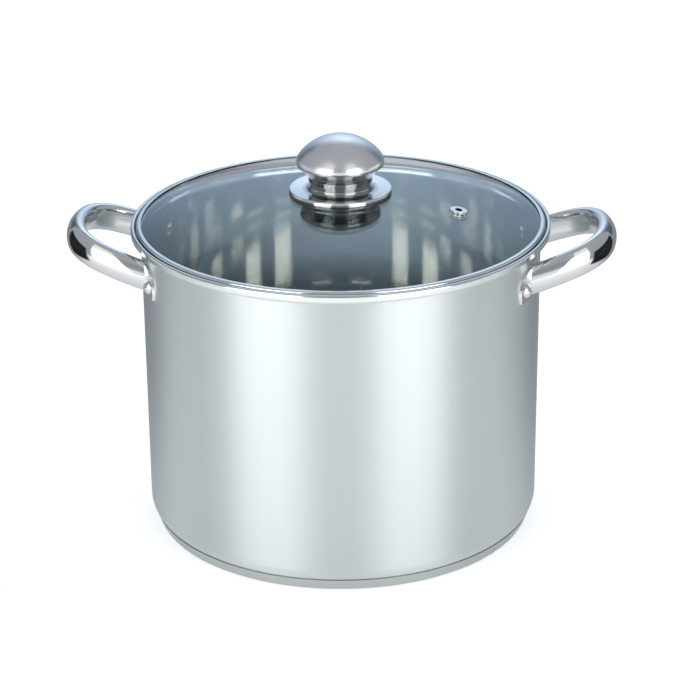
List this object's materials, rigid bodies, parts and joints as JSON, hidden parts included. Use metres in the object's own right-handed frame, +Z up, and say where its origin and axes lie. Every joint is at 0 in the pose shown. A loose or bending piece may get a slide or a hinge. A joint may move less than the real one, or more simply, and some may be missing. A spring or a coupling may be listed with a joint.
{
  "type": "stock pot",
  "caption": "Tall straight-sided stainless steel stock pot with riveted oval-tube loop handles, a stepped rolled rim and a lift-off domed glass lid with a steel band, vent and knob.",
  "frame": {"origin": "middle of the base's underside, on the surface that the pot stands on", "axes": "+Z up, +X through the middle of the right handle, -Y towards the front"},
  "size_m": [0.3306, 0.252, 0.2419],
  "materials": {
    "body_steel": "fine satin stainless steel, brushed round the wall",
    "base_steel": "satin stainless steel, turned",
    "core_aluminium": "plain aluminium, bonded between body and cap",
    "handle_steel": "mirror-polished stainless steel",
    "lid_glass": "clear tempered glass with a faint blue-green tint",
    "band_steel": "polished stainless steel band",
    "knob_steel": "mirror-polished stainless steel",
    "fastener_steel": "plain turned steel",
    "gasket_silicone": "translucent white silicone"
  },
  "bodies": {
    "pot": {"pot_body": "body_steel", "base_cap": "base_steel", "base_core": "core_aluminium", "left_handle": "handle_steel", "right_handle": "handle_steel", "left_front_bracket": "handle_steel", "left_rear_bracket": "handle_steel", "right_front_bracket": "handle_steel", "right_rear_bracket": "handle_steel", "left_handle_rivets": "handle_steel", "right_handle_rivets": "handle_steel"},
    "lid": {"lid_glass": "lid_glass", "lid_band": "band_steel", "vent_eyelet": "band_steel", "vent_grommet": "gasket_silicone", "knob_dome": "knob_steel", "knob_cup": "knob_steel", "knob_saucer": "knob_steel", "knob_insert": "fastener_steel", "knob_screw": "fastener_steel", "knob_top_gasket": "gasket_silicone", "knob_bottom_gasket": "gasket_silicone", "knob_washer": "fastener_steel"}
  },
  "joints": [
    {"name": "lid_lift", "type": "slide", "parent": "pot", "child": "lid", "axis": [0, 0, 1], "range_m": [0, 0.15]}
  ]
}
